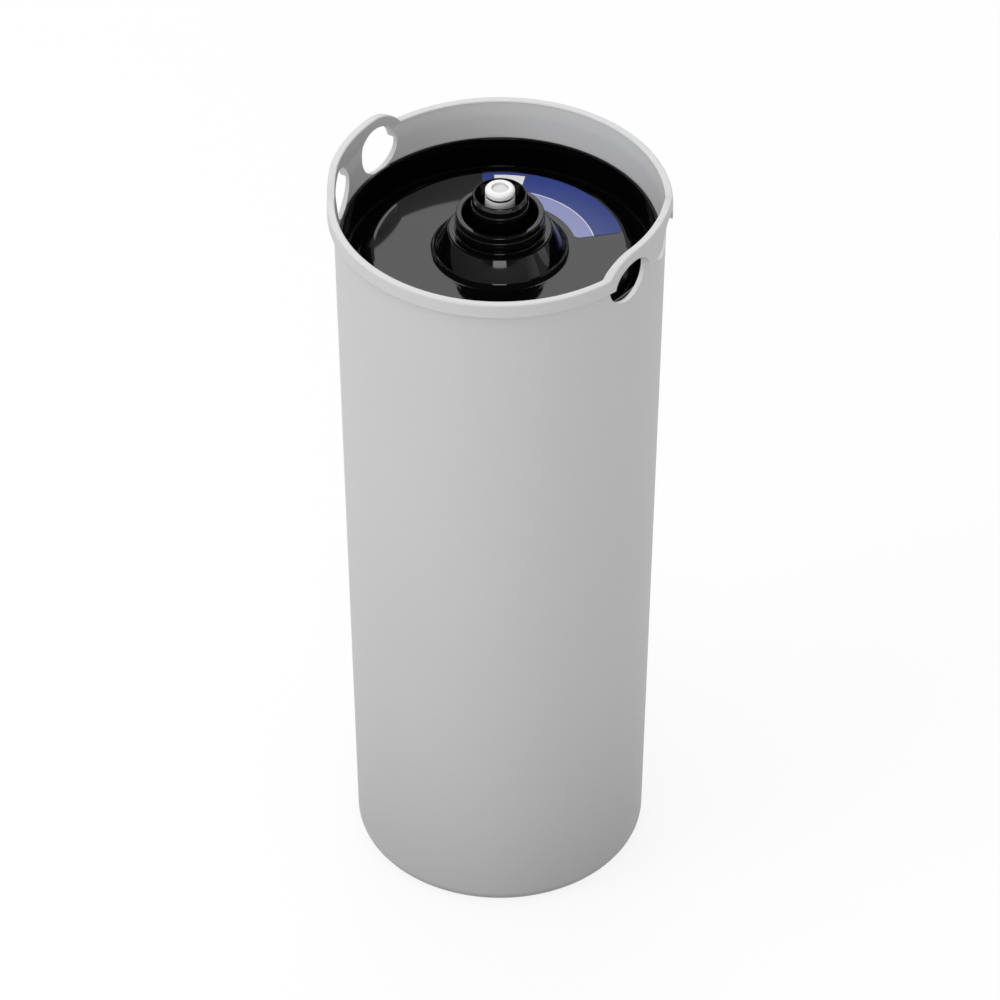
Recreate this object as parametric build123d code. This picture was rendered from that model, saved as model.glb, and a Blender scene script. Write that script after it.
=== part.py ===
from build123d import *
import os
from math import cos, radians, sin, tan

# Filter cartridge that stands in a pressure vessel: a tapered canister with two
# lifting ears, a black lid with a stepped three-way nozzle, and the beds inside.
# Millimetres, Z up, origin in the middle of the standing face, ears on the X axis.

# Canister
rim_height = 439.5
collar_radius = 92.2
collar_height = 8.8
collar_wall = 4.2
collar_step = 3.3
draft_angle = 1.0
neck_wall = 2.0
mouth_land = 1.5
seat_wall = 2.7
body_wall = 3.9
base_wall = 3.2
base_edge_radius = 8.0
base_recess = 1.6
standing_ring_width = 16.0
inner_edge_radius = 5.0
rim_edge_radius = 0.9

# Lifting ears: each end is an arc round a finger hole
ear_rise = 10.2
ear_end_radius = 20.0
ear_root_radius = 1.5
finger_hole_radius = 13.7
finger_hole_spacing = 43.0

# Lid
lid_drop = 22.5
plateau_drop = 33.0
gutter_drop = 41.4
gutter_width = 9.5
lid_wall = 2.4
skirt_wall = 1.7
skirt_edge_radius = 0.5
shoulder_radius = 6.8
gutter_corner_radius = 1.5
hold_ring_depth = 10.0
lid_gap = 0.15

# Nozzle, heights above the plateau
cone_foot_radius = 35.6
cone_foot_fillet = 4.5
cone_wall = 3.0
low_step_radius = 27.8
low_step_top = 13.7
low_step_edge_radius = 1.4
high_step_radius = 23.7
high_step_top = 24.4
step_edge_radius = 0.8
step_fillet = 0.8
well_radius = 20.35
well_floor = 11.0
tube_radius = 15.1
tube_bore = 11.0
tube_top = 36.9
lead_in_height = 2.8
lead_in_depth = 0.8
lip_height = 0.8
lip_radius = 13.8
lip_edge_radius = 0.4
mouth_depth = 6.0
socket_wall = 2.0
socket_step = 8.0
socket_tail = 8.0
outlet_port_radius = 1.5
outlet_port_count = 12

# Seals: section diameters and the grooves they lie in
shoulder_seal_section = 2.4
shoulder_seal_height = 20.1
shoulder_groove_depth = 2.0
cup_seal_section = 2.6
cup_seal_height = 30.1
cup_groove_depth = 2.15
nipple_seal_section = 1.3
nipple_seal_height = 36.55
nipple_groove_depth = 1.4
bypass_seal_section = 1.5
bypass_seal_height = 1.0
foot_seal_section = 1.5
groove_slack = 0.4
seal_gap = 0.05
land_step = 0.2

# Pipes
pipe_radius = 8.0
pipe_bore = 4.7
nipple_top = 40.7
nipple_edge_radius = 1.8
fin_count = 4
fin_wall = 1.2
fin_length = 8.0
bypass_wall = 2.6
pipe_gap = 0.2

# Inlet valve in the nipple's mouth
valve_radius = 4.4
valve_gap = 0.1
valve_thickness = 3.0
valve_drop = 1.1
valve_seat_bore = 3.4
valve_seat_height = 1.8
valve_edge_radius = 0.3

# Bypass diffuser
diffuser_radius = 18.0
diffuser_height = 14.0
diffuser_floor = 2.5
diffuser_socket = 6.0
diffuser_ledge = 1.8
diffuser_slot_count = 12
diffuser_slot_width = 2.0

# Bottom strainer
plenum_height = 8.0
strainer_plate = 2.5
foot_ring_radius = 62.0
foot_ring_wall = 2.0
foot_notch_count = 12
foot_notch_width = 10.0
foot_notch_height = 5.0
hub_wall = 3.0
hub_height = 14.0
hub_socket_depth = 12.0

# Slotted plates
slot_width = 1.6
slot_rings = 3
slot_count = 30
slot_rim_margin = 6.0
slot_hub_margin = 14.0
slot_ring_gap = 4.0

# Beds, from the bottom up
fleece_thickness = 3.0
resin_depth = 286.0
separator_thickness = 3.0
top_plate_thickness = 3.5
bed_gap = 0.3

# Label on the plateau
label_inner_radius = 41.0
label_outer_radius = 67.3
label_start_angle = 38.0
label_end_angle = 125.0
label_corner_radius = 3.0
label_thickness = 0.2

# Heights worked out from the driving sizes
collar_z = rim_height - collar_height
skirt_z = rim_height - lid_drop
plateau_z = rim_height - plateau_drop
gutter_z = rim_height - gutter_drop
ledge_z = gutter_z - lid_wall
finger_hole_z = rim_height + ear_rise - ear_end_radius
floor_z = base_recess + base_wall
strainer_z = floor_z + plenum_height
bottom_fleece_z = strainer_z + strainer_plate
resin_z = bottom_fleece_z + fleece_thickness
separator_z = resin_z + resin_depth
separator_fleece_z = separator_z + separator_thickness
carbon_z = separator_fleece_z + fleece_thickness
top_plate_z = ledge_z - hold_ring_depth - top_plate_thickness
upper_fleece_z = top_plate_z - fleece_thickness

# Radii worked out from the driving sizes
taper = tan(radians(draft_angle))
collar_bore = collar_radius - collar_wall
bypass_radius = tube_bore + bypass_wall
socket_radius = bypass_radius + pipe_gap
socket_outer = socket_radius + socket_wall
pipe_hole = pipe_radius + pipe_gap
bypass_hole = bypass_radius + bed_gap
shoulder_floor = high_step_radius - shoulder_groove_depth
cup_floor = tube_radius - cup_groove_depth
nipple_floor = pipe_radius - nipple_groove_depth
bypass_floor = socket_radius - bypass_seal_section - 2 * seal_gap


# Middles of the seals
nipple_seal_z = plateau_z + nipple_seal_height
cup_seal_z = plateau_z + cup_seal_height
shoulder_seal_z = plateau_z + shoulder_seal_height
bypass_seal_z = plateau_z + bypass_seal_height
foot_seal_z = bottom_fleece_z + hub_height - hub_socket_depth / 2

# Seat of the inlet valve
nipple_z = plateau_z + nipple_top
valve_top_z = nipple_z - valve_drop
valve_seat_z = valve_top_z - valve_thickness


def body_radius(height):
    """Outer radius of the tapered canister wall."""
    return collar_radius - collar_step - taper * (collar_z - height)


def seat_radius(height):
    """Bore of the canister beside the lid."""
    return body_radius(height) - seat_wall


def bed_radius(height):
    """Bore of the canister below the lid's ledge."""
    return body_radius(height) - body_wall


def turned(*corners):
    """Solid of revolution from a closed section of (radius, height, corner rounding)."""
    outline = FilletPolyline(
        *[(radius, height) for radius, height, _ in corners],
        radius=[rounding for _, _, rounding in corners],
        close=True,
    )
    return revolve(Plane.XZ * make_face(outline), Axis.Z)


def ring(inner_low, outer_low, low, inner_high, outer_high, high):
    """Turned ring with straight sides, upright or tapered."""
    return turned(
        (inner_low, low, 0), (outer_low, low, 0), (outer_high, high, 0), (inner_high, high, 0)
    )


def disc_in_canister(hole_radius, low, thickness):
    """Flat disc that fills the canister at a height, with a hole for a pipe."""
    high = low + thickness
    return ring(
        hole_radius, bed_radius(low) - bed_gap, low,
        hole_radius, bed_radius(high) - bed_gap, high,
    )


def o_ring(floor_radius, section, height):
    """Seal that lies on the floor of its groove."""
    centre = floor_radius + seal_gap + section / 2
    return revolve(Plane.XZ * Pos(centre, height) * Circle(section / 2), Axis.Z)


def radial_slots(hub_radius, rim_radius, low, thickness):
    """Rings of radial slots, cut through a plate between its hub and its rim."""
    first = hub_radius + slot_hub_margin
    length = (rim_radius - slot_rim_margin - first + slot_ring_gap) / slot_rings - slot_ring_gap
    slots = []
    for row in range(slot_rings):
        middle = first + row * (length + slot_ring_gap) + length / 2
        slot = Pos(middle, 0, low + thickness / 2) * Box(length, slot_width, 2 * thickness)
        turn = 180 / slot_count * (row % 2)
        slots += [Rot(0, 0, turn + 360 / slot_count * step) * slot for step in range(slot_count)]
    return slots


def make_canister():
    """One moulding: base, tapered wall, collar, ears and finger holes."""
    recess_radius = body_radius(0) - base_edge_radius - standing_ring_width
    neck_bore = body_radius(collar_z) - neck_wall
    body = turned(
        (0, base_recess, 0),
        (recess_radius - base_recess, base_recess, 0),
        (recess_radius, 0, 0),
        (body_radius(0), 0, base_edge_radius),
        (body_radius(collar_z), collar_z, 0),
        (neck_bore, collar_z, 0),
        (seat_radius(skirt_z), skirt_z, 0),
        (seat_radius(ledge_z), ledge_z, 0),
        (bed_radius(ledge_z), ledge_z, 0),
        (bed_radius(floor_z), floor_z, inner_edge_radius),
        (0, floor_z, 0),
    )
    collar = turned(
        (neck_bore, collar_z, 0),
        (collar_radius, collar_z, rim_edge_radius),
        (collar_radius, rim_height + ear_rise, 0),
        (collar_bore, rim_height + ear_rise, 0),
        (collar_bore, rim_height - mouth_land, 0),
    )
    arm = finger_hole_spacing / 2
    low_half = Pos(0, collar_z) * Rectangle(3 * collar_radius, 2 * collar_height)
    web_height = rim_height + ear_rise - collar_z
    ears = Pos(0, collar_z + web_height / 2) * Rectangle(finger_hole_spacing, web_height)
    for side in (-1, 1):
        ears += Pos(side * arm, finger_hole_z) * Circle(ear_end_radius)
    outline = low_half + ears
    roots = outline.vertices().filter_by_position(
        Axis.Y, rim_height - 0.01, rim_height + 0.01
    ).filter_by_position(Axis.X, -collar_radius, collar_radius)
    outline = fillet(roots, ear_root_radius)
    collar &= extrude(Plane.YZ * outline, 2 * collar_radius, both=True)
    top_edges = [
        edge for edge in collar.edges()
        if edge.center().Z > rim_height - 0.01 and edge.geom_type != GeomType.LINE
    ]
    collar = fillet(top_edges, rim_edge_radius)
    canister = body + collar
    for side in (-1, 1):
        hole = Cylinder(finger_hole_radius, 3 * collar_radius, rotation=(0, 90, 0))
        canister -= Pos(0, side * arm, finger_hole_z) * hole
    return canister


def groove(floor_radius, low_land, high_land, section, middle):
    """Four corners of a seal's groove, from the bottom up."""
    half = (section + groove_slack) / 2
    return [
        (low_land, middle - half, 0),
        (floor_radius, middle - half, 0),
        (floor_radius, middle + half, 0),
        (high_land, middle + half, 0),
    ]


def make_lid():
    """One moulding: skirt, gutter, plateau and the stepped nozzle with its well."""
    outer_top = seat_radius(skirt_z) - lid_gap
    outer_low = seat_radius(ledge_z) - lid_gap
    gutter_outer = seat_radius(gutter_z) - lid_gap - skirt_wall
    gutter_inner = gutter_outer - gutter_width
    plateau_radius = gutter_inner - (plateau_z - gutter_z) * tan(radians(2 * draft_angle))
    hold_outer = bed_radius(ledge_z - hold_ring_depth) - bed_gap
    hold_inner = hold_outer - lid_wall
    high_step_base = high_step_radius + land_step
    tube_base = tube_radius + land_step
    well_z = plateau_z + well_floor
    lip_z = plateau_z + tube_top
    cone_slope = (cone_foot_radius - low_step_radius) / low_step_top
    cone_bore = cone_foot_radius - cone_wall
    vault_z = well_z - lid_wall
    vault_radius = cone_bore - cone_slope * (vault_z - plateau_z)
    lid = turned(
        (outer_low, ledge_z, 0),
        (outer_top, skirt_z, skirt_edge_radius),
        (outer_top - skirt_wall, skirt_z, skirt_edge_radius),
        (gutter_outer, gutter_z, gutter_corner_radius),
        (gutter_inner, gutter_z, gutter_corner_radius),
        (plateau_radius, plateau_z, shoulder_radius),
        (cone_foot_radius, plateau_z, cone_foot_fillet),
        (low_step_radius, plateau_z + low_step_top, low_step_edge_radius),
        (high_step_base, plateau_z + low_step_top, step_fillet),
        *groove(shoulder_floor, high_step_base, high_step_radius, shoulder_seal_section, shoulder_seal_z),
        (high_step_radius, plateau_z + high_step_top, step_edge_radius),
        (well_radius, plateau_z + high_step_top, step_edge_radius),
        (well_radius, well_z, step_fillet),
        (tube_base, well_z, step_fillet),
        *groove(cup_floor, tube_base, tube_radius, cup_seal_section, cup_seal_z),
        (tube_radius, lip_z - lead_in_height, 0),
        (tube_radius - lead_in_depth, lip_z - lip_height, lip_edge_radius),
        (lip_radius, lip_z, lip_edge_radius),
        (tube_bore, lip_z - mouth_depth, 0),
        (tube_bore, plateau_z + socket_step, 0),
        (socket_radius, plateau_z + socket_step, 0),
        (socket_radius, plateau_z - lid_wall - socket_tail, 0),
        (socket_outer, plateau_z - lid_wall - socket_tail, 0),
        (socket_outer, vault_z, 0),
        (vault_radius, vault_z, 0),
        (cone_bore, plateau_z, 0),
        (cone_bore, plateau_z - lid_wall, 0),
        (plateau_radius - lid_wall, plateau_z - lid_wall, shoulder_radius - lid_wall),
        (gutter_inner - lid_wall, ledge_z, 0),
        (hold_inner, ledge_z, 0),
        (hold_inner, ledge_z - hold_ring_depth, 0),
        (hold_outer, ledge_z - hold_ring_depth, 0),
        (hold_outer, ledge_z, 0),
    )
    port = Pos((tube_radius + well_radius) / 2, 0, well_z) * Cylinder(outlet_port_radius, 3 * lid_wall)
    for step in range(outlet_port_count):
        lid -= Rot(0, 0, 360 / outlet_port_count * step) * port
    return lid


def make_inlet_pipe():
    """White centre pipe: nipple with a valve seat on top, fins that centre it, plain foot."""
    foot = bottom_fleece_z + hub_height - hub_socket_depth
    mouth_radius = valve_radius + valve_gap
    throat_z = valve_seat_z - valve_seat_height
    pipe = turned(
        (pipe_bore, foot, 0),
        (pipe_radius, foot, 0),
        *groove(nipple_floor, pipe_radius, pipe_radius, nipple_seal_section, nipple_seal_z),
        (pipe_radius, nipple_z, nipple_edge_radius),
        (mouth_radius, nipple_z, valve_edge_radius),
        (mouth_radius, valve_seat_z, 0),
        (valve_seat_bore, valve_seat_z, 0),
        (valve_seat_bore, throat_z, 0),
        (pipe_bore, throat_z - (pipe_bore - valve_seat_bore), 0),
    )
    fin_reach = tube_bore - pipe_gap
    fin = Pos((fin_reach + pipe_bore) / 2, 0, plateau_z + fin_length / 2) * Box(
        fin_reach - pipe_bore, fin_wall, fin_length
    )
    core = Pos(0, 0, plateau_z + fin_length / 2) * Cylinder(pipe_bore, 2 * fin_length)
    for step in range(fin_count):
        pipe += Rot(0, 0, 45 + 360 / fin_count * step) * (fin - core)
    return pipe


def make_inlet_valve():
    """Disc that lies on the seat in the nipple's mouth."""
    return turned(
        (0, valve_seat_z, 0),
        (valve_radius, valve_seat_z, 0),
        (valve_radius, valve_top_z, valve_edge_radius),
        (0, valve_top_z, 0),
    )


def make_bypass_pipe():
    """Short pipe round the inlet pipe, from the lid's socket to the diffuser."""
    top = plateau_z + socket_step
    foot = carbon_z + diffuser_height - diffuser_socket
    return turned(
        (tube_bore, foot, 0),
        (bypass_radius, foot, 0),
        *groove(bypass_floor, bypass_radius, bypass_radius, bypass_seal_section, bypass_seal_z),
        (bypass_radius, top, 0),
        (tube_bore, top, 0),
    )


def make_bypass_diffuser():
    """Slotted cup that carries the bypass pipe and closes round the inlet pipe."""
    top = carbon_z + diffuser_height
    seat = top - diffuser_socket
    chamber = socket_radius - diffuser_ledge
    cup = turned(
        (pipe_hole, carbon_z, 0),
        (diffuser_radius, carbon_z, 0),
        (diffuser_radius, top, 0),
        (socket_radius, top, 0),
        (socket_radius, seat, 0),
        (chamber, seat, 0),
        (chamber, carbon_z + diffuser_floor, 0),
        (pipe_hole, carbon_z + diffuser_floor, 0),
    )
    slot_height = seat - carbon_z - 2 * diffuser_floor
    slot_middle = carbon_z + diffuser_floor + slot_height / 2
    slot = Pos((chamber + diffuser_radius) / 2, 0, slot_middle) * Box(
        2 * (diffuser_radius - chamber), diffuser_slot_width, slot_height
    )
    for step in range(diffuser_slot_count):
        cup -= Rot(0, 0, 360 / diffuser_slot_count * step) * slot
    return cup


def make_bottom_strainer():
    """Slotted plate on a notched foot ring, with a hub that takes the inlet pipe."""
    rim_radius = bed_radius(strainer_z) - bed_gap
    hub_radius = pipe_hole + hub_wall
    top = bottom_fleece_z + hub_height
    seat = top - hub_socket_depth
    groove_floor = pipe_radius + foot_seal_section + 2 * seal_gap
    plate = turned(
        (pipe_bore, strainer_z, 0),
        (foot_ring_radius - foot_ring_wall, strainer_z, 0),
        (foot_ring_radius - foot_ring_wall, floor_z, 0),
        (foot_ring_radius, floor_z, 0),
        (foot_ring_radius, strainer_z, 0),
        (rim_radius, strainer_z, 0),
        (rim_radius, bottom_fleece_z, 0),
        (hub_radius, bottom_fleece_z, 0),
        (hub_radius, top, 0),
        (pipe_hole, top, 0),
        *reversed(groove(groove_floor, pipe_hole, pipe_hole, foot_seal_section, foot_seal_z)),
        (pipe_hole, seat, 0),
        (pipe_bore, seat, 0),
    )
    plate -= radial_slots(hub_radius, rim_radius, strainer_z, strainer_plate)
    notch = Pos(foot_ring_radius, 0, floor_z) * Box(
        4 * foot_ring_wall, foot_notch_width, 2 * foot_notch_height
    )
    for step in range(foot_notch_count):
        plate -= Rot(0, 0, 360 / foot_notch_count * step) * notch
    return plate


def make_slotted_plate(hole_radius, low, thickness):
    """Flat strainer plate across the canister, round a pipe."""
    rim_radius = bed_radius(low) - bed_gap
    plate = disc_in_canister(hole_radius, low, thickness)
    return plate - radial_slots(hole_radius, rim_radius, low, thickness)


def make_resin_bed():
    """Ion exchange beads round the inlet pipe and the strainer's hub."""
    hub_hole = pipe_hole + hub_wall + bed_gap
    hub_top = bottom_fleece_z + hub_height + bed_gap
    return turned(
        (hub_hole, resin_z, 0),
        (bed_radius(resin_z) - bed_gap, resin_z, 0),
        (bed_radius(separator_z) - bed_gap, separator_z, 0),
        (pipe_radius + bed_gap, separator_z, 0),
        (pipe_radius + bed_gap, hub_top, 0),
        (hub_hole, hub_top, 0),
    )


def make_carbon_bed():
    """Activated carbon round the diffuser and the bypass pipe."""
    diffuser_top = carbon_z + diffuser_height + bed_gap
    return turned(
        (diffuser_radius + bed_gap, carbon_z, 0),
        (bed_radius(carbon_z) - bed_gap, carbon_z, 0),
        (bed_radius(upper_fleece_z) - bed_gap, upper_fleece_z, 0),
        (bypass_hole, upper_fleece_z, 0),
        (bypass_hole, diffuser_top, 0),
        (diffuser_radius + bed_gap, diffuser_top, 0),
    )


def make_label():
    """Sticker on the plateau: a ring sector with rounded corners."""
    span = label_end_angle - label_start_angle
    ends = [
        (cos(radians(angle)), sin(radians(angle)))
        for angle in (label_start_angle, label_end_angle)
    ]
    sides = [
        Line(
            (label_inner_radius * x, label_inner_radius * y),
            (label_outer_radius * x, label_outer_radius * y),
        )
        for x, y in ends
    ]
    arcs = [
        CenterArc((0, 0), radius, label_start_angle, span)
        for radius in (label_inner_radius, label_outer_radius)
    ]
    sector = make_face(sides + arcs)
    sector = fillet(sector.vertices(), label_corner_radius)
    return extrude(Pos(0, 0, plateau_z) * sector, label_thickness)


nodes = {
    "canister": make_canister(),
    "lid": make_lid(),
    "inlet_pipe": make_inlet_pipe(),
    "inlet_valve": make_inlet_valve(),
    "bypass_pipe": make_bypass_pipe(),
    "bypass_diffuser": make_bypass_diffuser(),
    "bottom_strainer": make_bottom_strainer(),
    "bottom_fleece": disc_in_canister(pipe_hole + hub_wall + bed_gap, bottom_fleece_z, fleece_thickness),
    "resin_bed": make_resin_bed(),
    "separator_plate": make_slotted_plate(pipe_hole, separator_z, separator_thickness),
    "separator_fleece": disc_in_canister(pipe_hole, separator_fleece_z, fleece_thickness),
    "carbon_bed": make_carbon_bed(),
    "upper_fleece": disc_in_canister(bypass_hole, upper_fleece_z, fleece_thickness),
    "upper_strainer": make_slotted_plate(bypass_hole, top_plate_z, top_plate_thickness),
    "label": make_label(),
    "nipple_o_ring": o_ring(nipple_floor, nipple_seal_section, nipple_seal_z),
    "cup_o_ring": o_ring(cup_floor, cup_seal_section, cup_seal_z),
    "shoulder_o_ring": o_ring(shoulder_floor, shoulder_seal_section, shoulder_seal_z),
    "bypass_o_ring": o_ring(bypass_floor, bypass_seal_section, bypass_seal_z),
    "foot_o_ring": o_ring(pipe_radius, foot_seal_section, foot_seal_z),
}

os.makedirs("parts", exist_ok=True)
for name, solid in nodes.items():
    export_step(solid, f"parts/{name}.step")
    print(f"{name}: {solid.volume / 1000:.1f} cm3")
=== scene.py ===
import math
import bmesh
import bpy
from mathutils import Matrix, Vector


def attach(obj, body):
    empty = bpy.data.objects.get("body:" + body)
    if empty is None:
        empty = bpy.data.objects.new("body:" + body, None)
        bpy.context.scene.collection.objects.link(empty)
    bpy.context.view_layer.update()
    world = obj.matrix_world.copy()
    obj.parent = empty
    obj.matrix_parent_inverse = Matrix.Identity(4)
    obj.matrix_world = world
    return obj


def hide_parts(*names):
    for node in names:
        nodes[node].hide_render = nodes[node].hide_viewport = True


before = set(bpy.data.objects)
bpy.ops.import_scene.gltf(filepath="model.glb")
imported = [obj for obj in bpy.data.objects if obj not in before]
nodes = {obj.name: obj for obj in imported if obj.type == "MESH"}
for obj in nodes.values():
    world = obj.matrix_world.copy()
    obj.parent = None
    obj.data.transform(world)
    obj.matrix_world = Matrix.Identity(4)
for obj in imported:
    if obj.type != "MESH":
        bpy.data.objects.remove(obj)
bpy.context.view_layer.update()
scene = bpy.context.scene
scene.view_settings.view_transform = "Standard"
mm = 0.001
fullTurn = 2 * math.pi
upAxis = (0, 0, 1)
print("frame loaded:", len(nodes), "nodes")


# Mesh helpers, all sizes in millimetres

def roundedOutline(bm, corners, closed):
    # a wire in the XZ plane from (radius, height, rounding) corners, its corners rounded by vertex bevels
    points = [Vector((radius * mm, 0, height * mm)) for radius, height, _ in corners]
    verts = [bm.verts.new(point) for point in points]
    pairs = list(zip(verts, verts[1:]))
    if closed:
        pairs.append((verts[-1], verts[0]))
    for pair in pairs:
        bm.edges.new(pair)
    for index, (_, _, rounding) in enumerate(corners):
        if rounding <= 0:
            continue
        before = points[index - 1] - points[index]
        after = points[(index + 1) % len(points)] - points[index]
        reach = rounding * mm / math.tan(before.angle(after) / 2)  # tangent length of the arc
        bmesh.ops.bevel(
            bm, geom=[verts[index]], offset=reach, offset_type="OFFSET", segments=7,
            profile=0.5, affect="VERTICES", material=-1, clamp_overlap=False,
        )


def guardRuns(bm, guard):
    # a point close to each end of every straight run, so that flats keep flat normals beside a rounding
    for edge in [e for e in bm.edges if e.calc_length() > 4 * guard * mm]:
        length = edge.calc_length()
        first, second = edge.verts
        near = bmesh.utils.edge_split(edge, first, guard * mm / length)[1]
        rest = next(e for e in near.link_edges if second in e.verts)
        bmesh.utils.edge_split(rest, second, guard * mm / (length - guard * mm))


def lathe(corners, steps, closed=True, maxStep=0, guard=0.12):
    bm = bmesh.new()
    roundedOutline(bm, corners, closed)
    guardRuns(bm, guard)
    if maxStep:  # long runs are cut up, so that what follows has points to move
        for edge in [e for e in bm.edges if e.calc_length() > maxStep * mm]:
            cuts = int(edge.calc_length() / (maxStep * mm))
            bmesh.ops.subdivide_edges(bm, edges=[edge], cuts=cuts)
    bmesh.ops.spin(
        bm, geom=bm.verts[:] + bm.edges[:], cent=(0, 0, 0), axis=upAxis,
        angle=fullTurn, steps=steps, use_merge=True, use_duplicate=False,
    )
    bmesh.ops.remove_doubles(bm, verts=bm.verts[:], dist=0.002 * mm)
    bmesh.ops.recalc_face_normals(bm, faces=bm.faces[:])
    return bm


def addRod(bm, radius, length, centre, axis, segments):
    turn = Vector(upAxis).rotation_difference(Vector(axis)).to_matrix().to_4x4()
    place = Matrix.Translation(Vector(centre) * mm) @ turn
    bmesh.ops.create_cone(
        bm, cap_ends=True, segments=segments, radius1=radius * mm, radius2=radius * mm,
        depth=length * mm, matrix=place,
    )


def newPiece(name, bm, sharpAngle=32):
    mesh = bpy.data.meshes.new(name)
    bm.to_mesh(mesh)
    bm.free()
    mesh.shade_smooth()
    mesh.set_sharp_from_angle(angle=math.radians(sharpAngle))
    piece = bpy.data.objects.new(name, mesh)
    scene.collection.objects.link(piece)
    return piece


def combine(piece, toolBm, operation, sharpAngle=32):
    # one exact boolean, applied to the piece's own mesh
    tool = newPiece(piece.name + "Tool", toolBm)
    step = piece.modifiers.new("cut", "BOOLEAN")
    step.operation = operation
    step.solver = "EXACT"
    step.object = tool
    depsgraph = bpy.context.evaluated_depsgraph_get()
    done = bpy.data.meshes.new_from_object(piece.evaluated_get(depsgraph))
    piece.modifiers.clear()
    piece.data = done
    done.name = piece.name
    done.shade_smooth()
    done.set_sharp_from_angle(angle=math.radians(sharpAngle))
    bpy.data.objects.remove(tool)


def stand(piece, node, finish):
    piece.data.materials.clear()
    piece.data.materials.append(finish)
    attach(piece, "root")
    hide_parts(node)


# Shader helpers

class Signal:
    # wraps an output socket, so that shader maths reads as an expression
    def __init__(self, tree, socket):
        self.tree = tree
        self.socket = socket

    def maths(self, operation, first, second):
        step = self.tree.nodes.new("ShaderNodeMath")
        step.operation = operation
        for place, value in zip(step.inputs, (first, second)):
            plug(self.tree, place, value)
        return Signal(self.tree, step.outputs[0])

    def __add__(self, other):
        return self.maths("ADD", self, other)

    def __radd__(self, other):
        return self.maths("ADD", other, self)

    def __sub__(self, other):
        return self.maths("SUBTRACT", self, other)

    def __rsub__(self, other):
        return self.maths("SUBTRACT", other, self)

    def __mul__(self, other):
        return self.maths("MULTIPLY", self, other)

    def __rmul__(self, other):
        return self.maths("MULTIPLY", other, self)

    def __lt__(self, other):
        return self.maths("LESS_THAN", self, other)

    def __gt__(self, other):
        return self.maths("GREATER_THAN", self, other)


def plug(tree, place, value):
    if isinstance(value, Signal):
        tree.links.new(value.socket, place)
    else:
        place.default_value = value


class Finish:
    # one material; node() adds any node, its settings first, then its sockets
    def __init__(self, name):
        self.material = bpy.data.materials.new(name)
        self.material.use_nodes = True
        self.tree = self.material.node_tree
        self.shader = self.tree.nodes["Principled BSDF"]

    def node(self, kind, settings, sockets, output=0):
        made = self.tree.nodes.new("ShaderNode" + kind)
        for key, value in settings.items():
            setattr(made, key, value)
        for key, value in sockets.items():
            plug(self.tree, made.inputs[key], value)
        return Signal(self.tree, made.outputs[output])

    def place(self):
        return self.node("TexCoord", {}, {}, "Object")

    def noise(self, scale, detail=2.0, distortion=0.0):
        sockets = {"Vector": self.place(), "Scale": scale, "Detail": detail, "Distortion": distortion}
        return self.node("TexNoise", {}, sockets, "Fac")

    def mix(self, factor, first, second):
        sockets = {0: factor, 6: first, 7: second}
        return self.node("Mix", {"data_type": "RGBA"}, sockets, 2)

    def bump(self, height, strength, distance, under=None):
        sockets = {"Height": height, "Strength": strength, "Distance": distance}
        if under:
            sockets["Normal"] = under
        return self.node("Bump", {}, sockets)

    def set(self, **sockets):
        for key, value in sockets.items():
            plug(self.tree, self.shader.inputs[key.replace("_", " ")], value)
        return self.material


def grey(level):
    return (level, level, level, 1)


# Materials

def satinGreyPlastic():
    f = Finish("satinGreyPlastic")
    cloud = f.noise(7.0, 3.0)
    tint = f.mix(cloud, (0.545, 0.548, 0.545, 1), (0.585, 0.585, 0.582, 1))
    speck = f.noise(420.0, 2.0)
    grain = f.noise(1700.0, 2.0)
    skin = f.bump(grain, 0.10, 0.00012)
    skin = f.bump(speck, 0.05, 0.0003, skin)
    return f.set(Base_Color=tint, Roughness=0.40 + 0.10 * speck, Normal=skin, IOR=1.49)


def polishedBlackPlastic():
    f = Finish("polishedBlackPlastic")
    haze = f.noise(55.0, 4.0)
    tint = f.mix(haze, (0.0010, 0.0010, 0.0012, 1), (0.0018, 0.0018, 0.0021, 1))
    wave = f.noise(26.0, 1.0)
    skin = f.bump(wave, 0.03, 0.0004)
    return f.set(Base_Color=tint, Roughness=0.045 + 0.05 * haze, Normal=skin, IOR=1.52)


def whitePlastic(name, level):
    f = Finish(name)
    cloud = f.noise(90.0, 2.0)
    tint = f.mix(cloud, grey(level - 0.02), grey(level + 0.02))
    grain = f.noise(2600.0, 1.0)
    skin = f.bump(grain, 0.06, 0.0001)
    return f.set(Base_Color=tint, Roughness=0.30 + 0.08 * cloud, Normal=skin, IOR=1.49)


def sealRubber():
    f = Finish("sealRubber")
    dust = f.noise(900.0, 3.0)
    tint = f.mix(dust, grey(0.003), grey(0.006))
    skin = f.bump(dust, 0.10, 0.0001)
    return f.set(Base_Color=tint, Roughness=0.20 + 0.12 * dust, Normal=skin, IOR=1.45)


def innerPlastic():
    f = Finish("innerPlastic")
    cloud = f.noise(30.0, 3.0)
    tint = f.mix(cloud, (0.68, 0.68, 0.66, 1), (0.74, 0.74, 0.72, 1))
    skin = f.bump(f.noise(1500.0, 1.0), 0.08, 0.0001)
    return f.set(Base_Color=tint, Roughness=0.42 + 0.1 * cloud, Normal=skin)


def needledFleece():
    f = Finish("needledFleece")
    fibre = f.noise(700.0, 6.0, 2.5)
    tint = f.mix(fibre, (0.66, 0.66, 0.63, 1), (0.86, 0.86, 0.84, 1))
    skin = f.bump(fibre, 0.6, 0.0006)
    return f.set(Base_Color=tint, Roughness=0.92, Normal=skin)


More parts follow.
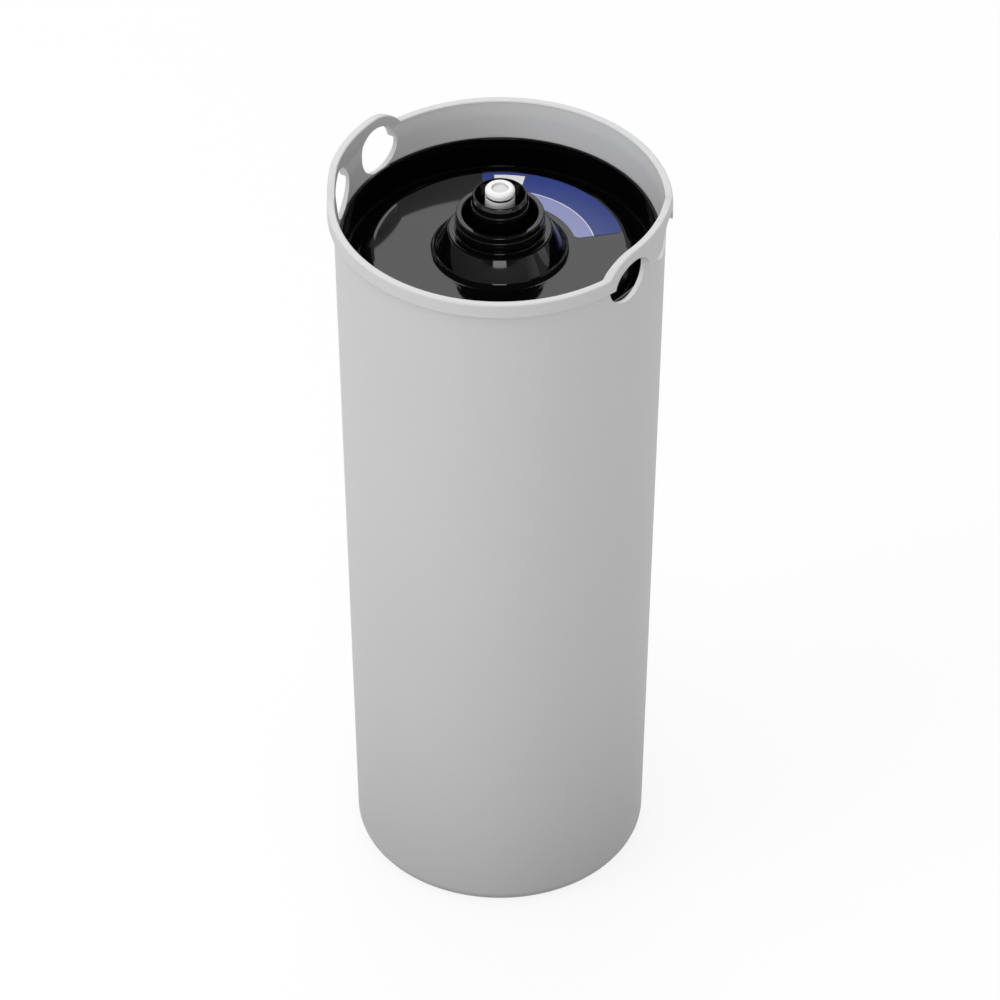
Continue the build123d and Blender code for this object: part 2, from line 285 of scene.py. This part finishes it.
def packedGrains(name, grainSize, dark, light, roughness):
    f = Finish(name)
    cells = {"Vector": f.place(), "Scale": 1 / (grainSize * mm)}
    reach = f.node("TexVoronoi", {"feature": "F1"}, cells, "Distance")
    tone = f.node("TexVoronoi", {"feature": "F1"}, cells, "Color")
    shade = f.node("RGBToBW", {}, {"Color": tone})
    tint = f.mix(shade, dark, light)
    skin = f.bump(1 - reach, 0.8, grainSize * mm * 0.5)
    return f.set(Base_Color=tint, Roughness=roughness, Normal=skin)


# Canister

canister = {
    "rimHeight": 439.5, "collarRadius": 92.2, "collarBore": 88.0, "collarHeight": 8.8, "stepOut": 3.3,
    "draft": 1.0, "neckWall": 2.0, "mouthLand": 1.5, "seatWall": 2.7, "bodyWall": 3.9, "ledge": 395.7,
    "floorHeight": 4.8, "baseRecess": 1.6, "baseEdge": 8.0, "standingRing": 16.0, "innerEdge": 5.0,
    "rimEdge": 0.9, "collarFillet": 0.5, "neckBlend": 40.0, "recessEdges": (1.5, 1.0),
    "earRise": 10.2, "earEnd": 20.0, "holeRadius": 13.7, "holeSpacing": 43.0, "steps": 480, "longestRun": 60,
}


def bodyRadius(height):
    c = canister
    fall = c["rimHeight"] - c["collarHeight"] - height
    return c["collarRadius"] - c["stepOut"] - fall * math.tan(math.radians(c["draft"]))


def earLift(across):
    # height of the ear above the rim, by the distance from the ear's middle
    c = canister
    drop = c["earEnd"] - c["earRise"]
    past = max(0.0, abs(across) - c["holeSpacing"] / 2)
    if past >= math.sqrt(c["earEnd"] ** 2 - drop ** 2):
        return 0.0
    return math.sqrt(c["earEnd"] ** 2 - past ** 2) - drop


def buildCanister():
    c = canister
    rim = c["rimHeight"]
    collarFoot = rim - c["collarHeight"]
    ledge = c["ledge"]
    lidTop = lid["skirtTop"]
    recess = bodyRadius(0) - c["baseEdge"] - c["standingRing"]
    bm = lathe([
        (0, c["baseRecess"], 0),
        (recess - 2 * c["baseRecess"], c["baseRecess"], c["recessEdges"][0]),
        (recess, 0, c["recessEdges"][1]),
        (bodyRadius(0), 0, c["baseEdge"]),
        (bodyRadius(collarFoot), collarFoot, c["collarFillet"]),
        (c["collarRadius"], collarFoot, c["rimEdge"]),
        (c["collarRadius"], rim, c["rimEdge"]),
        (c["collarBore"], rim, c["rimEdge"]),
        (c["collarBore"], rim - c["mouthLand"], 0),
        (bodyRadius(collarFoot) - c["neckWall"], collarFoot, c["neckBlend"]),
        (bodyRadius(lidTop) - c["seatWall"], lidTop, c["neckBlend"]),
        (bodyRadius(ledge) - c["seatWall"], ledge, 0),
        (bodyRadius(ledge) - c["bodyWall"], ledge, 0),
        (bodyRadius(c["floorHeight"]) - c["bodyWall"], c["floorHeight"], c["innerEdge"]),
        (0, c["floorHeight"], 0),
    ], c["steps"], closed=False, maxStep=c["longestRun"])
    for vert in bm.verts:  # the ears are drawn up from the rim
        if vert.co.z > (rim - 1.2 * c["rimEdge"]) * mm:
            vert.co.z += earLift(vert.co.y / mm) * mm
    piece = newPiece("canisterShell", bm)
    drills = bmesh.new()
    for side in (-1, 1):
        middle = (0, side * c["holeSpacing"] / 2, rim + c["earRise"] - c["earEnd"])
        addRod(drills, c["holeRadius"], 3 * c["collarRadius"], middle, (1, 0, 0), 96)
    combine(piece, drills, "DIFFERENCE")
    stand(piece, "canister", satinGreyPlastic())
    print("canister:", len(piece.data.polygons), "faces")


# Lid with its stepped nozzle

lid = {
    "plateau": 406.5, "skirtTop": 417.0, "gutterFloor": 398.1, "wall": 2.4, "gap": 0.15, "skirtWall": 1.7,
    "skirtEdge": 0.5, "gutterWidth": 9.5, "gutterCorner": 1.5, "shoulder": 6.8, "holdRing": 10.0,
    "coneFoot": 35.6, "footFillet": 4.5, "coneWall": 3.0, "lowStep": 27.8, "lowTop": 13.7, "lowEdge": 1.4,
    "highStep": 23.7, "highTop": 24.4, "edge": 0.8, "fillet": 0.8, "landStep": 0.2, "well": 20.35,
    "wellFloor": 11.0, "tube": 15.1, "bore": 11.0, "tubeTop": 36.9, "leadIn": 2.8, "leadDepth": 0.8,
    "leadEdges": (2.5, 1.0), "lip": 13.8, "lipHeight": 0.8, "lipEdge": 0.4,
    "mouthDepth": 6.0, "mouthBlend": 3.0, "grooveSlack": 0.4, "grooveEdge": 0.15, "holdGap": 0.3,
    "socket": 13.8, "socketWall": 2.0, "socketTop": 8.0, "socketTail": 10.4,
    "portRadius": 1.5, "portDepth": 7.2, "portCount": 12, "steps": 288,
}


def grooveFor(node, lowLand, highLand):
    # four corners of the groove that a seal lies in, from the bottom up
    floor, section, middle = seals[node]
    half = (section + lid["grooveSlack"]) / 2
    edge = lid["grooveEdge"]
    base = lid["plateau"] + middle
    return [
        (lowLand, base - half, edge), (floor, base - half, edge),
        (floor, base + half, edge), (highLand, base + half, edge),
    ]


def buildLid():
    d = lid
    base = d["plateau"]
    under = d["gutterFloor"] - d["wall"]
    seat = canister["seatWall"] + d["gap"]
    gutterOut = bodyRadius(d["gutterFloor"]) - seat - d["skirtWall"]
    gutterIn = gutterOut - d["gutterWidth"]
    topOut = bodyRadius(d["skirtTop"]) - seat
    plateauOut = gutterIn - (base - d["gutterFloor"]) * math.tan(math.radians(2 * canister["draft"]))
    holdOut = bodyRadius(under - d["holdRing"]) - canister["bodyWall"] - d["holdGap"]
    socketOut = d["socket"] + d["socketWall"]
    vault = d["wellFloor"] - d["wall"]
    coneIn = d["coneFoot"] - d["coneWall"]
    vaultOut = coneIn - vault * (d["coneFoot"] - d["lowStep"]) / d["lowTop"]
    highFoot = d["highStep"] + d["landStep"]
    tubeFoot = d["tube"] + d["landStep"]
    bm = lathe([
        (bodyRadius(under) - seat, under, 0),
        (topOut, d["skirtTop"], d["skirtEdge"]),
        (topOut - d["skirtWall"], d["skirtTop"], d["skirtEdge"]),
        (gutterOut, d["gutterFloor"], d["gutterCorner"]),
        (gutterIn, d["gutterFloor"], d["gutterCorner"]),
        (plateauOut, base, d["shoulder"]),
        (d["coneFoot"], base, d["footFillet"]),
        (d["lowStep"], base + d["lowTop"], d["lowEdge"]),
        (highFoot, base + d["lowTop"], d["fillet"]),
        *grooveFor("shoulder_o_ring", highFoot, d["highStep"]),
        (d["highStep"], base + d["highTop"], d["edge"]),
        (d["well"], base + d["highTop"], d["edge"]),
        (d["well"], base + d["wellFloor"], d["fillet"]),
        (tubeFoot, base + d["wellFloor"], d["fillet"]),
        *grooveFor("cup_o_ring", tubeFoot, d["tube"]),
        (d["tube"], base + d["tubeTop"] - d["leadIn"], d["leadEdges"][0]),
        (d["tube"] - d["leadDepth"], base + d["tubeTop"] - d["lipHeight"], d["leadEdges"][1]),
        (d["lip"], base + d["tubeTop"], d["lipEdge"]),
        (d["bore"], base + d["tubeTop"] - d["mouthDepth"], d["mouthBlend"]),
        (d["bore"], base + d["socketTop"], 0),
        (d["socket"], base + d["socketTop"], 0),
        (d["socket"], base - d["socketTail"], 0),
        (socketOut, base - d["socketTail"], 0),
        (socketOut, base + vault, 0),
        (vaultOut, base + vault, 0),
        (coneIn, base, 0),
        (coneIn, base - d["wall"], 0),
        (plateauOut - d["wall"], base - d["wall"], d["shoulder"] - d["wall"]),
        (gutterIn - d["wall"], under, 0),
        (holdOut - d["wall"], under, 0),
        (holdOut - d["wall"], under - d["holdRing"], 0),
        (holdOut, under - d["holdRing"], 0),
        (holdOut, under, 0),
    ], d["steps"])
    piece = newPiece("lidCover", bm)
    drills = bmesh.new()
    for count in range(d["portCount"]):
        angle = fullTurn * count / d["portCount"]
        reach = (d["tube"] + d["well"]) / 2
        middle = (reach * math.cos(angle), reach * math.sin(angle), base + d["wellFloor"])
        addRod(drills, d["portRadius"], d["portDepth"], middle, upAxis, 24)
    combine(piece, drills, "DIFFERENCE")
    stand(piece, "lid", polishedBlackPlastic())
    print("lid:", len(piece.data.polygons), "faces")


# Centre pipe with the white nipple

pipe = {
    "radius": 8.0, "bore": 4.7, "foot": 17.3, "top": 40.7, "topEdge": 1.8, "mouth": 4.5, "edge": 0.3,
    "valveRadius": 4.4, "valveDrop": 1.1, "valveHeight": 3.0, "seatBore": 3.4, "seatHeight": 1.8,
    "fins": 4, "finWall": 1.2, "finReach": 10.8, "finRoot": 0.5, "finLength": 8.0, "steps": 96,
}


def buildPipe():
    p = pipe
    base = lid["plateau"]
    top = base + p["top"]
    seat = top - p["valveDrop"] - p["valveHeight"]
    throat = seat - p["seatHeight"]
    bm = lathe([
        (p["bore"], p["foot"], 0),
        (p["radius"], p["foot"], p["edge"]),
        *grooveFor("nipple_o_ring", p["radius"], p["radius"]),
        (p["radius"], top, p["topEdge"]),
        (p["mouth"], top, p["edge"]),
        (p["mouth"], seat, 0),
        (p["seatBore"], seat, 0),
        (p["seatBore"], throat, 0),
        (p["bore"], throat - (p["bore"] - p["seatBore"]), 0),
    ], p["steps"])
    piece = newPiece("centrePipe", bm)
    fins = bmesh.new()
    length = p["finReach"] - p["radius"] + p["finRoot"]
    for count in range(p["fins"]):
        turn = Matrix.Rotation(fullTurn * (count + 0.5) / p["fins"], 4, "Z")
        middle = Vector((p["finReach"] - length / 2, 0, base + p["finLength"] / 2)) * mm
        size = Matrix.Diagonal((length * mm, p["finWall"] * mm, p["finLength"] * mm, 1))
        bmesh.ops.create_cube(fins, size=1.0, matrix=turn @ Matrix.Translation(middle) @ size)
    combine(piece, fins, "UNION")
    stand(piece, "inlet_pipe", whitePlastic("whitePlastic", 0.72))
    bm = lathe([
        (0, seat, 0),
        (p["valveRadius"], seat, 0),
        (p["valveRadius"], top - p["valveDrop"], p["edge"]),
        (0, top - p["valveDrop"], 0),
    ], p["steps"], closed=False)
    valve = newPiece("mouthValve", bm)
    # the valve disc takes the nipple's white plastic set darker, painted shade of a deeper bore
    stand(valve, "inlet_valve", whitePlastic("valveWhiteWithPaintedShade", 0.56))
    print("centre pipe:", len(piece.data.polygons), "faces")


# Seals that show on the nozzle: floor of the groove, section, height above the plateau

sealGap = 0.05  # between a seal and the floor of its groove
seals = {
    "nipple_o_ring": (6.6, 1.3, 36.55),
    "cup_o_ring": (12.95, 2.6, 30.1),
    "shoulder_o_ring": (21.7, 2.4, 20.1),
}


def buildSeals():
    rubber = sealRubber()
    for node, (floor, section, height) in seals.items():
        bm = bmesh.new()
        middle = Vector((floor + sealGap + section / 2, 0, lid["plateau"] + height)) * mm
        turn = Matrix.Rotation(math.pi / 2, 4, "X")
        bmesh.ops.create_circle(
            bm, segments=28, radius=section / 2 * mm, matrix=Matrix.Translation(middle) @ turn
        )
        bmesh.ops.spin(
            bm, geom=bm.verts[:] + bm.edges[:], cent=(0, 0, 0), axis=upAxis,
            angle=fullTurn, steps=144, use_merge=True, use_duplicate=False,
        )
        bmesh.ops.remove_doubles(bm, verts=bm.verts[:], dist=0.002 * mm)
        bmesh.ops.recalc_face_normals(bm, faces=bm.faces[:])
        piece = newPiece(node.split("_")[0] + "Seal", bm)
        stand(piece, node, rubber)
    for node in ("bypass_o_ring", "foot_o_ring"):
        dress(node, rubber)
    print("seals:", len(seals))


# Label

label = {
    "inner": 41.0, "outer": 67.3, "start": 38.0, "end": 125.0, "corner": 3.0, "thickness": 0.2,
    "bandEdge": 51.0, "lineWidth": 0.5,
    "panelStart": 104.0, "panelEnd": 119.0, "panelIn": 52.5, "panelOut": 65.0,
}


def arcFrom(bm, vert, centre, angle, steps):
    # draws a vertex round a centre and returns the last point
    made = bmesh.ops.spin(
        bm, geom=[vert], cent=Vector(centre) * mm, axis=upAxis, angle=angle, steps=steps,
        use_merge=False, use_duplicate=False,
    )
    return [item for item in made["geom_last"] if isinstance(item, bmesh.types.BMVert)][0]


def labelPrint():
    f = Finish("labelPrint")
    x = f.node("SeparateXYZ", {}, {"Vector": f.place()}, "X")
    y = Signal(f.tree, x.socket.node.outputs["Y"])
    square = x * x + y * y
    radius = square.maths("POWER", square, 0.5) * (1 / mm)
    angle = x.maths("ARCTAN2", y, x) * (180 / math.pi)
    band = radius < label["bandEdge"]
    line = (radius > label["bandEdge"]) * (radius < label["bandEdge"] + label["lineWidth"])
    panel = (angle > label["panelStart"]) * (angle < label["panelEnd"])
    panel = panel * (radius > label["panelIn"]) * (radius < label["panelOut"])
    ink = f.noise(700.0, 3.0)
    blue = f.mix(ink, (0.014, 0.032, 0.190, 1), (0.020, 0.042, 0.230, 1))
    violet = f.mix(ink, (0.22, 0.24, 0.46, 1), (0.25, 0.27, 0.51, 1))
    tint = f.mix(band, blue, violet)
    tint = f.mix(line, tint, grey(0.70))
    tint = f.mix(panel, tint, grey(0.74))
    skin = f.bump(ink, 0.05, 0.0001)
    return f.set(Base_Color=tint, Roughness=0.30 + 0.08 * ink, Normal=skin, IOR=1.45)


def buildLabel():
    d = label
    corner = d["corner"]
    leanOut = math.asin(corner / (d["outer"] - corner))
    leanIn = math.asin(corner / (d["inner"] + corner))
    start = math.radians(d["start"])
    end = math.radians(d["end"])

    def at(radius, angle):
        return (radius * math.cos(angle), radius * math.sin(angle), lid["plateau"])

    bm = bmesh.new()
    first = bm.verts.new(Vector(at(d["outer"], start + leanOut)) * mm)
    last = arcFrom(bm, first, (0, 0, 0), end - start - 2 * leanOut, 60)
    last = arcFrom(bm, last, at(d["outer"] - corner, end - leanOut), math.pi / 2 + leanOut, 8)
    side = at(math.sqrt((d["inner"] + corner) ** 2 - corner ** 2), end)
    moved = bm.verts.new(Vector(side) * mm)
    bm.edges.new((last, moved))
    last = arcFrom(bm, moved, at(d["inner"] + corner, end - leanIn), math.pi / 2 - leanIn, 8)
    last = arcFrom(bm, last, (0, 0, 0), -(end - start - 2 * leanIn), 60)
    last = arcFrom(bm, last, at(d["inner"] + corner, start + leanIn), math.pi / 2 - leanIn, 8)
    side = at(math.sqrt((d["outer"] - corner) ** 2 - corner ** 2), start)
    moved = bm.verts.new(Vector(side) * mm)
    bm.edges.new((last, moved))
    last = arcFrom(bm, moved, at(d["outer"] - corner, start + leanOut), math.pi / 2 + leanOut, 8)
    bmesh.ops.remove_doubles(bm, verts=bm.verts[:], dist=0.01 * mm)
    sheet = bmesh.ops.contextual_create(bm, geom=bm.edges[:])["faces"]
    raised = bmesh.ops.extrude_face_region(bm, geom=sheet)["geom"]
    tops = [item for item in raised if isinstance(item, bmesh.types.BMVert)]
    bmesh.ops.translate(bm, verts=tops, vec=(0, 0, d["thickness"] * mm))
    bmesh.ops.recalc_face_normals(bm, faces=bm.faces[:])
    piece = newPiece("lidLabel", bm)
    stand(piece, "label", labelPrint())
    print("label:", len(piece.data.polygons), "faces")


# Inner pieces keep their solids

def dress(node, finish):
    piece = nodes[node]
    piece.data.materials.clear()
    piece.data.materials.append(finish)


def dressInside():
    natural = innerPlastic()
    for node in ("bypass_pipe", "bypass_diffuser", "bottom_strainer", "separator_plate", "upper_strainer"):
        dress(node, natural)
    fleece = needledFleece()
    for node in ("bottom_fleece", "separator_fleece", "upper_fleece"):
        dress(node, fleece)
    amber = (0.30, 0.17, 0.06, 1), (0.62, 0.42, 0.18, 1)
    dress("resin_bed", packedGrains("resinBeads", 0.8, *amber, 0.35))
    dress("carbon_bed", packedGrains("carbonGrains", 1.4, grey(0.006), grey(0.028), 0.7))
    print("inner pieces dressed")


# Studio

studio = {
    "azimuth": 26.2, "elevation": 39.93, "distance": 3.4284, "aim": 0.2306, "lens": 222.9,
    "ambient": 0.66, "overhead": 0.03, "skyFade": (0.15, 0.40),  # the fade runs from low to high in the sky
    "floor": {
        "size": 12.0, "seenTint": 0.88, "glowShare": 0.85,
        "farTint": 0.62, "nearTint": 0.02, "fade": (0.12, 0.38),
    },
    "lamps": {
        "topLamp": {"at": (-0.35, -0.25, 1.75), "size": 1.3, "power": 7.5, "mirrored": False},
        "backLamp": {"at": (-1.07, 2.17, 2.27), "size": 2.2, "power": 20.0, "mirrored": True},
        "leftLamp": {"at": (-1.5, -1.9, 1.9), "size": 1.6, "power": 17.5, "mirrored": False},
        "frontLamp": {"at": (1.25, -2.62, 1.75), "size": 1.4, "power": 17.5, "mirrored": True},
    },
}


def buildStudio():
    s = studio
    turn = math.radians(s["azimuth"])
    rise = math.radians(s["elevation"])
    aim = Vector((0, 0, s["aim"]))
    away = Vector((math.cos(rise) * math.sin(turn), -math.cos(rise) * math.cos(turn), math.sin(rise)))
    camera = bpy.data.objects.new("camera", bpy.data.cameras.new("camera"))
    camera.data.lens = s["lens"]
    camera.data.sensor_width = 36.0
    camera.location = aim + away * s["distance"]
    camera.rotation_euler = away.to_track_quat("Z", "Y").to_euler()
    scene.collection.objects.link(camera)
    scene.camera = camera
    for name, lamp in s["lamps"].items():
        data = bpy.data.lights.new(name, "AREA")
        data.shape = "DISK"
        data.size = lamp["size"]
        data.energy = lamp["power"]
        holder = bpy.data.objects.new(name, data)
        holder.visible_glossy = lamp["mirrored"]
        holder.location = lamp["at"]
        holder.rotation_euler = (Vector(lamp["at"]) - aim).to_track_quat("Z", "Y").to_euler()
        scene.collection.objects.link(holder)
    buildWorld(s["ambient"], s["overhead"], *s["skyFade"])
    buildFloor(s["floor"])
    print("studio ready")


def buildWorld(ambient, overhead, fadeStart, fadeEnd):
    # for what is seen or mirrored it is white low down and dark overhead, and for the rest a plain soft light
    world = bpy.data.worlds.new("studioWorld")
    world.use_nodes = True
    scene.world = world
    tree = world.node_tree
    sky = tree.nodes["Background"]
    rays = tree.nodes.new("ShaderNodeLightPath")
    seen = Signal(tree, rays.outputs["Is Camera Ray"])
    seen = seen.maths("MAXIMUM", seen, Signal(tree, rays.outputs["Is Glossy Ray"]))
    seen = seen.maths("MAXIMUM", seen, Signal(tree, rays.outputs["Is Transmission Ray"]))
    towards = tree.nodes.new("ShaderNodeTexCoord")
    split = tree.nodes.new("ShaderNodeSeparateXYZ")
    tree.links.new(towards.outputs["Generated"], split.inputs[0])
    fade = tree.nodes.new("ShaderNodeMapRange")
    fade.interpolation_type = "SMOOTHSTEP"
    tree.links.new(split.outputs["Z"], fade.inputs["Value"])
    for key, value in {"From Min": fadeStart, "From Max": fadeEnd, "To Min": 1.0, "To Max": overhead}.items():
        fade.inputs[key].default_value = value
    glow = Signal(tree, fade.outputs[0])
    plug(tree, sky.inputs["Strength"], ambient + (glow - ambient) * seen)
    sky.inputs["Color"].default_value = grey(1.0)


def buildFloor(look):
    # white where it is seen or mirrored, with the shadow, and it throws less light back close to the object
    bm = bmesh.new()
    bmesh.ops.create_grid(bm, x_segments=1, y_segments=1, size=look["size"] / 2)
    floor = newPiece("floor", bm)
    f = Finish("floorWhite")
    rays = f.node("LightPath", {}, {}, "Is Camera Ray")
    paths = rays.socket.node.outputs
    reach = f.node("VectorMath", {"operation": "LENGTH"}, {0: f.place()}, "Value")
    start, end = look["fade"]
    fade = {"Value": reach, "From Min": start, "From Max": end, "To Min": 1.0, "To Max": 0.0}
    near = f.node("MapRange", {"interpolation_type": "SMOOTHSTEP"}, fade)
    thrown = f.mix(near, grey(look["farTint"]), grey(look["nearTint"]))
    tint = f.mix(Signal(f.tree, paths["Is Diffuse Ray"]), grey(look["seenTint"]), thrown)
    f.set(Base_Color=tint, Roughness=0.9)
    seen = rays.maths("MAXIMUM", rays, Signal(f.tree, paths["Is Glossy Ray"]))
    seen = seen.maths("MAXIMUM", seen, Signal(f.tree, paths["Is Transmission Ray"]))
    glow = f.node("Emission", {}, {"Color": grey(1.0), "Strength": 1.0})
    matt = Signal(f.tree, f.shader.outputs[0])
    both = f.node("MixShader", {}, {0: seen * look["glowShare"], 1: matt, 2: glow})
    f.tree.links.new(both.socket, f.tree.nodes["Material Output"].inputs["Surface"])
    floor.data.materials.append(f.material)


buildCanister()
buildLid()
buildPipe()
buildSeals()
buildLabel()
dressInside()
buildStudio()
